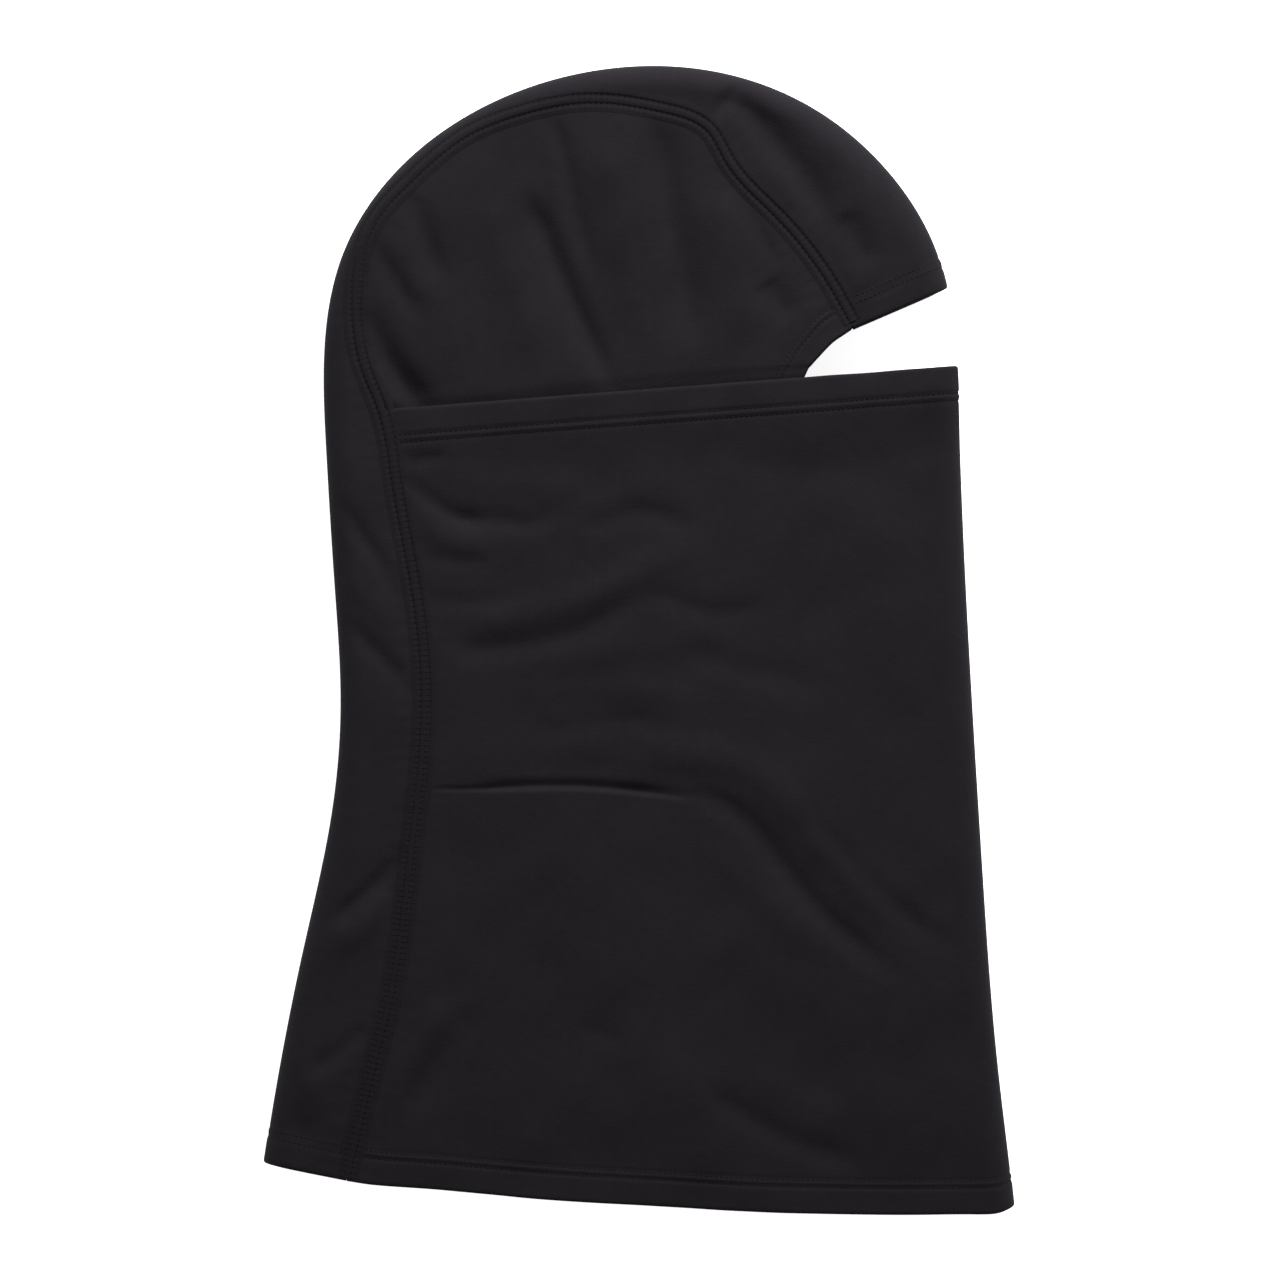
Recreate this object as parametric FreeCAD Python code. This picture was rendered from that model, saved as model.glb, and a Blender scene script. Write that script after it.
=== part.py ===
"""A stretch-cloth balaclava laid flat on its left side, one STEP file per piece.

Millimetres.  +X points to the front of the face, +Y to the crown, +Z up from the
surface that the garment lies on.  The origin is under the middle of its outline.
Each cloth layer is a skin of the folded garment: a skin is named by how deep it
lies below the outside, so pieces that touch share the same depth.
"""

import FreeCAD, Part
import functools
import math
import os

V = FreeCAD.Vector

# ---- driving dimensions -------------------------------------------------------
GARMENT_LENGTH = 430.0      # crown to the lowest point of the neck hem
HEM_WIDTH = 281.0           # neck hem laid flat, back fold to front fold
THICKNESS = 18.0            # the whole garment, laid flat
FOLD_RADIUS = 8.4           # outside of the cloth where it folds back on itself

CLOTH = 1.1                 # brushed stretch jersey
CLEARANCE = 0.4             # between the sliding mask edge and the hood inside it
PARTING = 0.3               # between the mask's moving edge and its own cloth
THREAD = 0.4                # depth of the thread in the face of the cloth

CROWN_DEPTH = 236.0         # crown, back of the head to brow
CROWN_RISE = 106.0          # top of the crown above the widest level
BACK_SLACK = 3.0            # half the step in from the back of the head to the nape
NECK_HEIGHT = 173.0         # waist of the neck, above the hem's lowest point

MASK_EDGE_DROP = 6.6        # mask's top edge at the front, below the widest level
MASK_EDGE_RISE = 16.5       # the edge climbs this far from the seam to the front
MASK_HEM = 13.0             # depth of the mask's turned edge
SEAM_REACH = 31.5           # seam's foremost point, in front of the waist's back fold
MASK_HEM_START = 3.0        # the free edge starts this far in front of the seam's reach
MASK_LIFT = 10.0            # the mask's edge pulled up from rest
MASK_STANDOFF = 1.3         # mask's front fold, in front of the brow

NECK_HEM = 11.5             # depth of the turned neck hem
FACE_HEM = 11.0             # depth of the turned face opening
SEAM_WIDTH = 8.0            # flat seam, over its four rows of thread
HEM_ROWS = 3.4              # two rows of thread on a hem
HEM_ROWS_INSET = 0.9        # rows of thread to the raw edge of a hem
SEAM_LAP = 4.0              # inner hood, behind the seam line

DART_DROP = 14.0            # dart, below the waist of the neck
DART_LENGTH = 97.0
DART_DEPTH = 9.0            # cloth taken into the dart, at the seam
DART_ROW = 1.6
INNER_OVER_DART = 9.0       # lower edge of the inner hood at the seam, above the dart
INNER_DROP = 50.0           # the same edge falls this far towards the front
CHIN_ROWS = 5.0
LABEL_LENGTH = 42.0
LABEL_WIDTH = 24.0
LABEL_THICKNESS = 0.5
LABEL_LEVEL = 85.0

# ---- places worked out from them ----------------------------------------------
FAR = 60.0                              # how far a cutting shape runs past the garment
TOP = GARMENT_LENGTH / 2
HEM_LEVEL = -GARMENT_LENGTH / 2
HEM_BACK = -HEM_WIDTH / 2
HEM_FRONT = HEM_WIDTH / 2
LEFT, RIGHT = HEM_BACK - FAR, HEM_FRONT + FAR
WIDEST = TOP - CROWN_RISE               # level of the back of the head
BACK = -CROWN_DEPTH / 2
WAIST = BACK + 2 * BACK_SLACK
HOOD = 2 * CLOTH + CLEARANCE            # depth of the hood's cloth under the mask
MASK_FRONT = -BACK + MASK_STANDOFF
MASK_EDGE_LEVEL = WIDEST - MASK_EDGE_DROP
FLARE = HEM_FRONT - MASK_FRONT
DART_LEVEL = HEM_LEVEL + NECK_HEIGHT - DART_DROP
INNER_LEVEL = DART_LEVEL + INNER_OVER_DART
HALF = THICKNESS / 2


def above(height):
    """A level counted up from the lowest point of the neck hem."""
    return HEM_LEVEL + height


# ---- outlines, as points from end to end ---------------------------------------
def outline():
    """The folds: up the nape, over the crown and the brow, down the mask's front."""
    nape = [
        (HEM_BACK - 4.0, above(-8.0)),
        (HEM_BACK, above(20.0)),
        (WAIST - 14.0, above(0.57 * NECK_HEIGHT)),
        (WAIST - 3.5, above(0.86 * NECK_HEIGHT)),
        (WAIST, above(1.1 * NECK_HEIGHT)),
        (BACK + 2.0, WIDEST - 52.0),
    ]
    angles = [math.radians(angle) for angle in range(180, -1, -30)]
    crown = [(-BACK * math.cos(a), WIDEST + CROWN_RISE * math.sin(a)) for a in angles]
    fall = MASK_EDGE_LEVEL - HEM_LEVEL
    front = [
        (MASK_FRONT + 0.06 * FLARE, MASK_EDGE_LEVEL - 0.09 * fall),
        (MASK_FRONT + 0.25 * FLARE, MASK_EDGE_LEVEL - 0.33 * fall),
        (MASK_FRONT + 0.45 * FLARE, MASK_EDGE_LEVEL - 0.60 * fall),
        (MASK_FRONT + 0.73 * FLARE, MASK_EDGE_LEVEL - 0.83 * fall),
        (HEM_FRONT, above(1.5)),
        (HEM_FRONT + 1.0, above(-8.0)),
    ]
    return nape + crown + front


def hem_line(raised=0.0):
    """The neck hem from back to front, past both folds."""
    points = [
        (LEFT, above(36.0)),
        (HEM_BACK, above(19.6)),
        (HEM_BACK + 30.0, above(13.0)),
        (HEM_BACK + 62.0, above(9.7)),
        (HEM_BACK + 110.0, above(5.0)),
        (HEM_BACK + 165.0, above(1.8)),
        (HEM_FRONT - 41.0, above(0.0)),
        (HEM_FRONT, above(2.2)),
        (RIGHT, above(8.0)),
    ]
    return [(x, y + raised) for x, y in points]


def back_seam():
    """Seam of the centre panel from the neck hem, up the nape and over the crown."""
    return [
        (HEM_BACK + 29.5, above(-20.0)),
        (HEM_BACK + 31.2, above(12.0)),
        (WAIST + SEAM_REACH - 14.0, above(0.44 * NECK_HEIGHT)),
        (WAIST + SEAM_REACH - 5.0, above(0.75 * NECK_HEIGHT)),
        (WAIST + SEAM_REACH, above(NECK_HEIGHT)),
        (WAIST + SEAM_REACH - 3.0, above(1.33 * NECK_HEIGHT)),
        (BACK + 24.5, WIDEST - 37.0),
        (BACK + 13.0, WIDEST + 8.0),
        (BACK + 14.5, WIDEST + 36.0),
        (BACK + 32.0, WIDEST + 63.0),
        (BACK + 64.0, TOP - 22.0),
        (BACK + 97.0, TOP - 13.4),
        (BACK + 122.0, TOP - 17.2),
    ]


def brow_seam():
    """The same seam from the crown forward and down, past the face opening."""
    crown = back_seam()[-1]
    return [
        crown,
        (crown[0] + 21.0, crown[1] - 8.0),
        (crown[0] + 28.0, crown[1] - 19.0),
        (crown[0] + 46.5, crown[1] - 38.0),
        (crown[0] + 66.5, crown[1] - 63.0),
        (crown[0] + 92.0, crown[1] - 106.0),
    ]


def seam():
    return back_seam() + brow_seam()[1:]


def face_opening(grown=0.0):
    """Edge of the hood round the face, from past the brow down under the chin."""
    brow = -BACK - 2.0
    points = [
        (brow + 30.0, WIDEST + 36.0),
        (brow, WIDEST + 24.0),
        (brow - 20.0, WIDEST + 15.4),
        (brow - 44.0, WIDEST + 0.5),
        (brow - 54.0, WIDEST - 11.0),
        (brow - 65.0, WIDEST - 33.0),
        (brow - 66.0, WIDEST - 62.0),
        (brow - 55.0, WIDEST - 100.0),
        (brow - 29.0, WIDEST - 124.0),
        (brow + 3.0, WIDEST - 134.0),
        (brow + 40.0, WIDEST - 136.0),
    ]
    return beside(points, -grown)


def inner_edge():
    """Lower edge of the inner hood, from behind the seam to past the chin."""
    return [
        (LEFT, INNER_LEVEL),
        (WAIST + 20.0, INNER_LEVEL),
        (WAIST + 130.0, INNER_LEVEL - 0.1 * INNER_DROP),
        (MASK_FRONT, INNER_LEVEL - 0.9 * INNER_DROP),
        (RIGHT, INNER_LEVEL - 1.5 * INNER_DROP),
    ]


def mask_edge(lowered=0.0):
    """A straight line along the mask's top edge, or a distance below it."""
    slope = MASK_EDGE_RISE / (MASK_FRONT - seam_front(MASK_EDGE_LEVEL - MASK_EDGE_RISE))
    level = MASK_EDGE_LEVEL - lowered * math.hypot(1, slope)
    back = (LEFT, level - slope * (MASK_FRONT - LEFT))
    front = (RIGHT, level + slope * (RIGHT - MASK_FRONT))
    return [back, front]


# ---- curves, regions and skins --------------------------------------------------
def curve(points):
    if len(points) == 2:
        return Part.LineSegment(V(*points[0], 0), V(*points[1], 0))
    line = Part.BSplineCurve()
    line.interpolate([V(x, y, 0) for x, y in points])
    return line


def beside(points, distance):
    """The points moved to the left of the curve through them."""
    if not distance:
        return points
    line = curve(points)
    moved = []
    for x, y in points:
        along = line.tangent(line.parameter(V(x, y, 0)))[0]
        moved.append((x - distance * along.y, y + distance * along.x))
    return moved


def crossing(points, level):
    """X where the curve through the points crosses a level, on its lower stretch."""
    cut = Part.LineSegment(V(LEFT, level, 0), V(RIGHT, level, 0)).toShape()
    near = curve(points).toShape().distToShape(cut)[1]
    return near[0][0].x


def seam_front(level):
    """X of the front edge of the back seam's thread at a level."""
    return crossing(back_seam()[:8], level) + SEAM_WIDTH / 2


def region(*stretches, closed_by=()):
    """A tall solid over the area inside the curves and corners, given in order."""
    edges = [curve(points).toShape() for points in stretches]
    corners = [stretches[-1][-1], *closed_by, stretches[0][0]]
    for start, end in zip(corners, corners[1:]):
        edges.append(Part.LineSegment(V(*start, 0), V(*end, 0)).toShape())
    area = Part.Face(Part.Wire(Part.__sortEdges__(edges)))
    area.translate(V(0, 0, -FAR))
    return area.extrude(V(0, 0, THICKNESS + 2 * FAR))


@functools.cache
def body(depth):
    """The folded garment, closed all round, this deep below its outside."""
    folds = curve(beside(outline(), -depth))
    hem = Part.LineSegment(folds.EndPoint, folds.StartPoint)
    area = Part.Face(Part.Wire([folds.toShape(), hem.toShape()]))
    area.translate(V(0, 0, depth))
    solid = area.extrude(V(0, 0, THICKNESS - 2 * depth))
    bent = [
        edge
        for edge in solid.Edges
        if edge.BoundBox.ZLength < THREAD / 2 and edge.Curve.TypeId != "Part::GeomLine"
    ]
    return solid.makeFillet(min(FOLD_RADIUS, HALF - PARTING) - depth, bent)


@functools.cache
def skin(outside, inside):
    """One layer of the folded garment, between two depths."""
    return body(outside).cut(body(inside))


def inside(shape, *regions):
    for area in regions:
        shape = shape.common(area)
    return shape


def without(shape, *regions):
    for area in regions:
        shape = shape.cut(area)
    return shape


def side(shape, half):
    """The part of a shape on the garment's right (upper) or left (lower) half."""
    return shape.common(half)


def joined(*shapes):
    solid = shapes[0]
    for shape in shapes[1:]:
        solid = solid.fuse(shape)
    return solid.removeSplitter()


# ---- the regions that the pieces share --------------------------------------------
UPPER = Part.makeBox(1000, 1000, FAR, V(-500, -500, HALF))
LOWER = Part.makeBox(1000, 1000, FAR, V(-500, -500, HALF - FAR))
HALVES = {"right": UPPER, "left": LOWER}


def front_of_seam(moved=0.0):
    """Everything in front of the centre panel's seam."""
    if moved:
        lines = [beside(seam(), moved)]
    else:
        lines = [back_seam(), brow_seam()]
    return region(*lines, closed_by=[(RIGHT, lines[-1][-1][1]), (RIGHT, lines[0][0][1])])


def below(line):
    return region(line, closed_by=[(RIGHT, HEM_LEVEL - FAR), (LEFT, HEM_LEVEL - FAR)])


def in_opening(grown=0.0):
    return region(face_opening(grown))


def ribbon(points, width):
    """A band along a curve."""
    ahead = beside(points, width / 2)
    behind = beside(points, -width / 2)[::-1]
    return region(ahead, [ahead[-1], behind[0]], behind)


IN_FRONT = front_of_seam()
LAPPED = front_of_seam(SEAM_LAP)
BELOW_HEM = below(hem_line())
OPENING = in_opening()
JOGGLE = -(MASK_LIFT + 4 * CLOTH)         # the hood steps under the mask above its edge
UNDER_MASK = below(mask_edge(JOGGLE))
JOGGLE_WALL = below(mask_edge(JOGGLE)).cut(below(mask_edge(JOGGLE + CLOTH)))
HEM_JOGGLE_WALL = below(mask_edge(JOGGLE - CLOTH)).cut(UNDER_MASK)
INNER_HOOD = without(LAPPED, below(inner_edge()), OPENING)
FACE_BAND = in_opening(FACE_HEM).cut(OPENING)
FREE_EDGE_START = WAIST + SEAM_REACH + SEAM_WIDTH / 2 + MASK_HEM_START
FREE_EDGE = Part.makeBox(
    RIGHT - FREE_EDGE_START, 1000, THICKNESS + 2 * FAR, V(FREE_EDGE_START, -500, -FAR)
)
SEAM_BAND = joined(ribbon(back_seam(), SEAM_WIDTH), ribbon(brow_seam(), SEAM_WIDTH))


# ---- thread, which lies flush in the face of the cloth ------------------------------
def seam_stitching(half):
    band = inside(skin(0, THREAD), SEAM_BAND)
    return side(without(band, BELOW_HEM, OPENING), half)


def neck_hem_stitching():
    top = NECK_HEM - HEM_ROWS_INSET
    rows = below(hem_line(top)).cut(below(hem_line(top - HEM_ROWS)))
    return without(inside(skin(0, THREAD), rows), SEAM_BAND)


def mask_hem_stitching():
    bottom = MASK_HEM - HEM_ROWS_INSET
    rows = below(mask_edge(bottom - HEM_ROWS)).cut(below(mask_edge(bottom)))
    return inside(skin(0, THREAD), rows, FREE_EDGE)


def face_opening_stitching():
    """Rows round the face, on the brow, down the hood and on under the mask."""
    top = FACE_HEM - HEM_ROWS_INSET
    rows = in_opening(top).cut(in_opening(top - HEM_ROWS))
    outside = without(inside(skin(0, THREAD), rows), UNDER_MASK, SEAM_BAND)
    under = inside(skin(HOOD, HOOD + THREAD), rows, without(UNDER_MASK, JOGGLE_WALL))
    return Part.makeCompound(outside.Solids + under.Solids)


def dart_line():
    start = seam_front(DART_LEVEL)
    return [(start, DART_LEVEL), (start + DART_LENGTH, DART_LEVEL)]


def dart_stitching(half):
    start, end = dart_line()
    low = V(start[0], start[1] - DART_ROW / 2, -FAR)
    row = Part.makeBox(end[0] - start[0], DART_ROW, THICKNESS + 2 * FAR, low)
    return side(inside(skin(0, THREAD), row), half)


def chin_seam_stitching():
    rows = Part.makeBox(1000, 1000, CHIN_ROWS, V(0, -500, HALF - CHIN_ROWS / 2))
    face = inside(skin(HOOD, HOOD + THREAD), INNER_HOOD, UNDER_MASK, rows)
    return without(face, in_opening(FACE_HEM))


def inner_edge_stitching(half):
    rows = below(beside(inner_edge(), HEM_ROWS)).cut(below(inner_edge()))
    face = inside(skin(HOOD, HOOD + THREAD), INNER_HOOD, rows)
    face = without(face, ribbon(back_seam(), SEAM_WIDTH), CHIN_THREAD)
    return side(face, half)


SEAM_THREAD = {name: seam_stitching(half) for name, half in HALVES.items()}
NECK_THREAD = neck_hem_stitching()
MASK_THREAD = mask_hem_stitching()
FACE_THREAD = face_opening_stitching()
DART_THREAD = {name: dart_stitching(half) for name, half in HALVES.items()}
CHIN_THREAD = chin_seam_stitching()
INNER_THREAD = {name: inner_edge_stitching(half) for name, half in HALVES.items()}


# ---- cloth -------------------------------------------------------------------------
def centre_panel():
    """One strip from brow to neck hem over the crown, folded down its middle."""
    cloth = without(skin(0, CLOTH), BELOW_HEM, IN_FRONT, OPENING)
    return without(cloth, *SEAM_THREAD.values(), NECK_THREAD, FACE_THREAD)


def side_panel(name):
    """Crown and cheek, which steps in under the mask and meets its twin at the chin."""
    half = HALVES[name]
    hood = without(inside(skin(0, CLOTH), IN_FRONT), UNDER_MASK, OPENING)
    step = inside(skin(0, HOOD + CLOTH), IN_FRONT, JOGGLE_WALL).cut(OPENING)
    cheek = inside(skin(HOOD, HOOD + CLOTH), INNER_HOOD, UNDER_MASK)
    lap = ribbon(back_seam(), SEAM_WIDTH)
    allowance = inside(skin(CLOTH, HOOD), INNER_HOOD, lap, UNDER_MASK)
    cloth = joined(*(side(piece, half) for piece in (hood, step, cheek, allowance)))
    threads = (SEAM_THREAD[name], FACE_THREAD, CHIN_THREAD, INNER_THREAD[name])
    return without(cloth, *threads)


def mask_panel():
    """Lower face, neck and bib in one piece, folded down its front."""
    cloth = without(inside(skin(0, CLOTH), IN_FRONT, below(mask_edge())), BELOW_HEM)
    cloth = without(cloth, FREE_EDGE.cut(below(mask_edge(MASK_HEM))))
    parting = FREE_EDGE.copy()
    parting.translate(V(-PARTING, 0, 0))
    cloth = without(cloth, parting.cut(below(mask_edge(MASK_HEM + PARTING))))
    return without(cloth, *SEAM_THREAD.values(), NECK_THREAD, *DART_THREAD.values())


def mask_hem():
    """The mask's free top edge, turned in once: the part that is pulled down."""
    band = below(mask_edge()).cut(below(mask_edge(MASK_HEM)))
    return without(inside(skin(0, 2 * CLOTH), band, FREE_EDGE), MASK_THREAD)


def brow_hem():
    return without(inside(skin(CLOTH, 2 * CLOTH), FACE_BAND), IN_FRONT, UNDER_MASK)


def face_hem(name):
    """Turned edge of a side panel, which follows the panel's step under the mask."""
    deep = HOOD + CLOTH
    band = inside(IN_FRONT, FACE_BAND)
    hood = without(inside(skin(CLOTH, 2 * CLOTH), band), UNDER_MASK)
    step = inside(skin(CLOTH, deep + CLOTH), band, HEM_JOGGLE_WALL)
    cheek = inside(skin(deep, deep + CLOTH), band, UNDER_MASK)
    return joined(*(side(piece, HALVES[name]) for piece in (hood, step, cheek)))


def neck_hem_front():
    band = below(hem_line(NECK_HEM)).cut(BELOW_HEM)
    return inside(skin(CLOTH, 2 * CLOTH), band, IN_FRONT)


def neck_hem_back():
    band = below(hem_line(NECK_HEM)).cut(BELOW_HEM)
    return inside(skin(CLOTH, 2 * CLOTH), band).cut(IN_FRONT)


def dart_fold(half):
    """The wedge of mask cloth that the dart takes in, turned down inside."""
    start, end = dart_line()
    wedge = region([start, end], closed_by=[(start[0], start[1] - DART_DEPTH)])
    return side(inside(skin(CLOTH, 2 * CLOTH), wedge), half)


def care_label():
    """A blank folded tape sewn into the left seam, lying on the mask's inside."""
    level = above(LABEL_LEVEL)
    start = seam_front(level + LABEL_WIDTH / 2)
    return Part.makeBox(
        LABEL_LENGTH, LABEL_WIDTH, LABEL_THICKNESS, V(start, level, CLOTH)
    )


def pieces():
    yield "centre_panel", centre_panel()
    yield "mask_panel", mask_panel()
    yield "mask_hem", mask_hem()
    yield "mask_hem_stitching", MASK_THREAD
    yield "brow_hem", brow_hem()
    yield "neck_hem_front", neck_hem_front()
    yield "neck_hem_back", neck_hem_back()
    yield "neck_hem_stitching", NECK_THREAD
    yield "face_opening_stitching", FACE_THREAD
    yield "chin_seam_stitching", CHIN_THREAD
    yield "care_label", care_label()
    for name, half in HALVES.items():
        yield name + "_side_panel", side_panel(name)
        yield name + "_face_hem", face_hem(name)
        yield name + "_dart_fold", dart_fold(half)
        yield name + "_seam_stitching", SEAM_THREAD[name]
        yield name + "_dart_stitching", DART_THREAD[name]
        yield name + "_inner_edge_stitching", INNER_THREAD[name]


os.makedirs("parts", exist_ok=True)
for name, shape in pieces():
    whole = Part.makeCompound(shape.Solids)
    whole.exportStep(f"parts/{name}.step")
    box = whole.BoundBox
    print(
        f"{name}: {len(shape.Solids)} solids, {whole.Volume:.0f} mm3, valid {whole.isValid()},"
        f" x {box.XMin:.1f} {box.XMax:.1f} y {box.YMin:.1f} {box.YMax:.1f}"
        f" z {box.ZMin:.2f} {box.ZMax:.2f}"
    )
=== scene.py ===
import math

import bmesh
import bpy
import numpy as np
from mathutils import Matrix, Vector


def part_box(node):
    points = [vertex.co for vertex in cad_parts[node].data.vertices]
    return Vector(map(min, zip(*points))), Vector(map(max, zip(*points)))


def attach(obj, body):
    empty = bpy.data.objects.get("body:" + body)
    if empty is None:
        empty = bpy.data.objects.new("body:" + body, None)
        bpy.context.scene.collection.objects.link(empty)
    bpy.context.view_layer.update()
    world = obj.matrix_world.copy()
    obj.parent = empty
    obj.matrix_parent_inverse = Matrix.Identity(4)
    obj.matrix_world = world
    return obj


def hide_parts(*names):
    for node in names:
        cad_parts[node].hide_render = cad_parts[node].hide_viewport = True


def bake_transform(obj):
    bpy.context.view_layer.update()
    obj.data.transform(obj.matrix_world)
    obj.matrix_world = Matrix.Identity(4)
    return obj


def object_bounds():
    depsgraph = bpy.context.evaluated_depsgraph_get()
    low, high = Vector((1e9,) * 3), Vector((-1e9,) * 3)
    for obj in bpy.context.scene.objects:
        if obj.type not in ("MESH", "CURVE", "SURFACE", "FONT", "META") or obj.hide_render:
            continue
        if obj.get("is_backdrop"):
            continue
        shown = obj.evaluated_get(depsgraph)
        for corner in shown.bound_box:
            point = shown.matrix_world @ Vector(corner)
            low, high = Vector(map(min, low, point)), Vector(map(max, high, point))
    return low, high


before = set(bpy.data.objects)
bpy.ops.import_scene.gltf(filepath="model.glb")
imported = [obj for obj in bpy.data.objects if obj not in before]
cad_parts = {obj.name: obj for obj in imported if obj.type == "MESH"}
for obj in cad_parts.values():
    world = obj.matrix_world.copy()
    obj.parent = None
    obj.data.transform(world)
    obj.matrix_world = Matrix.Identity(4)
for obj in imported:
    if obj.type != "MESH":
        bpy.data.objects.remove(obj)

# The looks of a brushed-jersey balaclava, laid flat on its left side, around its packed
# frame.  Lengths in the sections are millimetres unless a line says metres, and every mesh
# is made in metres.  +X points to the front of the face, +Y to the crown, and the wearer's
# right side is the upper one.

cad_low, cad_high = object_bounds()
MM = 0.001
back_end, hem_end = cad_low.x / MM, cad_low.y / MM
front_end, crown_end = cad_high.x / MM, cad_high.y / MM
middle = (cad_low.z + cad_high.z) / 2 / MM


# ---- Camera ---------------------------------------------------------------------
# It looks straight down on the laid garment from far off, with the crown at the top.
camera_height = 3.0         # metres
view_width = 0.480          # metres of the surface across the view
camera_data = bpy.data.cameras.new("camera")
camera_data.sensor_width = 36
camera_data.lens = camera_data.sensor_width * camera_height / view_width
camera_data.clip_end = 20
camera = bpy.data.objects.new("camera", camera_data)
camera.location = (0, 0, camera_height)
bpy.context.scene.collection.objects.link(camera)
bpy.context.scene.camera = camera


# ---- Centre panel ---------------------------------------------------------------
# One long strip of brushed stretch jersey, from the brow over the crown and down the
# nape to the neck hem.  It is folded down its middle, which makes the back edge of the
# laid hood, and both its long edges are flat-seamed to the panels beside it.
cloth_thickness = 1.0
fold_radius = 9.5           # how far in from a fold the cloth is still turning
loft = middle - 0.5         # outside of the cloth above the garment's middle
lip = 1.1                   # outside of a hem, round its folded edge
flat_from = 12.0            # from a fold to where the cloth lies as flat as it will
sag, sag_reach = 1.6, 60.0  # the upper leaf sinks towards the garment's middle
seam_hold = 7.0             # how far beside a seam the cloth is held down
seam_dip = 0.9
pucker_rise, pucker_pitch, pucker_width = 0.08, 6.3, 3.5
crease_gain = 1.3           # creases stand this much fuller in the upper leaf
pressed_crease = 0.25       # and this much weaker in the lower one
pressed_seam = 0.45


def evenly(line, count):
    """The same line with its points the same distance apart."""
    run = np.append(0, np.cumsum(np.linalg.norm(np.diff(line, axis=0), axis=1)))
    at = np.linspace(0, run[-1], count)
    return np.stack([np.interp(at, run, line[:, i]) for i in range(line.shape[1])], axis=1)


def smooth(points, count):
    """Evenly spaced points on the natural cubic through the given ones."""
    p = np.array(points, float)
    at = np.append(0, np.cumsum(np.linalg.norm(np.diff(p, axis=0), axis=1)))
    step = np.diff(at)
    slope = np.diff(p, axis=0) / step[:, None]
    left, right = np.eye(len(p)), np.zeros_like(p)
    for i in range(1, len(p) - 1):
        left[i, i - 1 : i + 2] = step[i - 1], 2 * (step[i - 1] + step[i]), step[i]
        right[i] = 6 * (slope[i] - slope[i - 1])
    bend = np.linalg.solve(left, right)
    fine = np.linspace(0, at[-1], 40 * len(p))
    k = np.clip(np.searchsorted(at, fine, side="right") - 1, 0, len(step) - 1)
    x, h = (fine - at[k])[:, None], step[k][:, None]
    line = p[k] + x * (slope[k] - h * (2 * bend[k] + bend[k + 1]) / 6)
    line += x**2 * bend[k] / 2 + x**3 * (bend[k + 1] - bend[k]) / (6 * h)
    return evenly(line, count)


def nearest(xy, line):
    """How far each point is to the left of a line, and how far along it."""
    along = np.diff(line, axis=0)
    length = np.linalg.norm(along, axis=1)
    run = np.append(0, np.cumsum(length))
    corner = np.empty(len(xy), int)
    for part in np.array_split(np.arange(len(xy)), len(xy) // 8000 + 1):
        corner[part] = ((line**2).sum(1) - 2 * xy[part] @ line.T).argmin(1)
    far = np.full(len(xy), np.inf)
    gap, way = np.empty(len(xy)), np.empty(len(xy))
    for step in (-1, 0):
        k = np.clip(corner + step, 0, len(along) - 1)
        away = xy - line[k]
        share = np.clip((away * along[k]).sum(1) / length[k] ** 2, 0, 1)
        away -= share[:, None] * along[k]
        turn = along[k, 0] * away[:, 1] - along[k, 1] * away[:, 0]
        size = np.linalg.norm(away, axis=1)
        better = size < far
        far[better] = size[better]
        gap[better] = (size * np.where(turn < 0, -1, 1))[better]
        way[better] = (run[k] + share * length[k])[better]
    return gap, way


def line_at(line, run):
    """The places some way along a line."""
    step = np.linalg.norm(np.diff(line, axis=0), axis=1)
    at = np.append(0, np.cumsum(step))
    return np.stack([np.interp(run, at, line[:, i]) for i in range(line.shape[1])], axis=-1)


def to_nearest(places, line):
    """Moves places to the nearest points of a line."""
    return line_at(line, nearest(places, line)[1])


def ease(x):
    """Rises smoothly from 0 to 1 as x does, and stays there."""
    x = np.clip(x, 0, 1)
    return x * x * (3 - 2 * x)


widest = crown_end - 106.0
crown_turns = [math.radians(turn) for turn in range(180, -1, -20)]
fold_line = smooth(
    [
        (back_end - 4.0, hem_end - 8.0),
        (back_end, hem_end + 20.0),
        (-126.0, -116.0),
        (-115.5, -66.0),
        (-112.0, -25.0),
        (-114.2, 20.0),
        (-117.3, 70.0),
    ]
    + [
        (118.0 * math.cos(a) + 5.0 * math.sin(a) ** 4, widest + 105.7 * math.sin(a))
        for a in crown_turns
    ]
    + [
        (119.6, 74.0),
        (123.0, -2.0),
        (128.2, -88.0),
        (134.0, -161.0),
        (front_end - 0.4, hem_end + 2.0),
        (front_end + 0.5, hem_end - 8.0),
    ],
    700,
)
seam_line = smooth(
    [
        (-110.5, -206.0),
        (-106.0, -186.0),
        (-99.4, -158.5),
        (-92.8, -131.0),
        (-85.1, -76.0),
        (-80.6, -30.0),
        (-83.6, 16.0),
        (-91.5, 60.0),
        (-96.6, 86.0),
        (-102.4, 100.5),
        (-106.3, 125.0),
        (-99.2, 157.0),
        (-86.0, 171.8),
        (-65.6, 188.6),
        (-45.4, 196.9),
        (-19.0, 201.6),
        (8.2, 198.2),
        (26.0, 190.6),
        (32.6, 179.6),
        (50.3, 159.8),
        (70.5, 134.6),
        (80.6, 116.5),
        (84.0, 110.0),
    ],
    700,
)


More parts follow.
